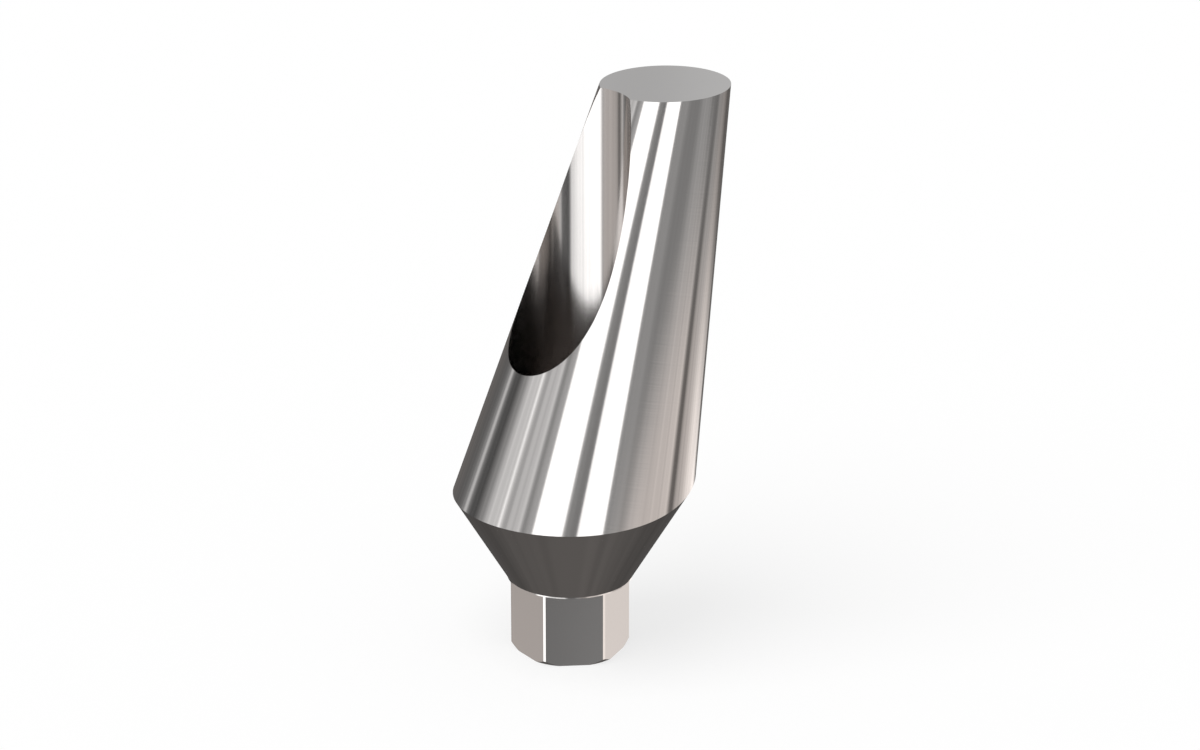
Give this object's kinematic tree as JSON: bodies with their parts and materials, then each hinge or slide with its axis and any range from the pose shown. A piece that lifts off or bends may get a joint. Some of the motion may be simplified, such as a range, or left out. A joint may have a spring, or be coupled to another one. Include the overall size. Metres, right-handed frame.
{
  "type": "dental implant abutment",
  "caption": "One-piece angled abutment with a hexagonal connection, a flared foot, a leaning tapered post with a flat top, and a screw channel that breaks out through its side.",
  "frame": {"origin": "on the implant's axis, at the shoulder where the flared foot meets the hexagon", "axes": "+Z along the implant's axis, up through the screw channel to the flat top; +X towards the side that the post leans to, and square to one flat of the hexagon"},
  "size_m": [0.0069, 0.0054, 0.0132],
  "materials": {
    "titanium": "turned and milled titanium alloy, finely polished, bare"
  },
  "bodies": {
    "root": {"abutment": "titanium"}
  },
  "joints": []
}
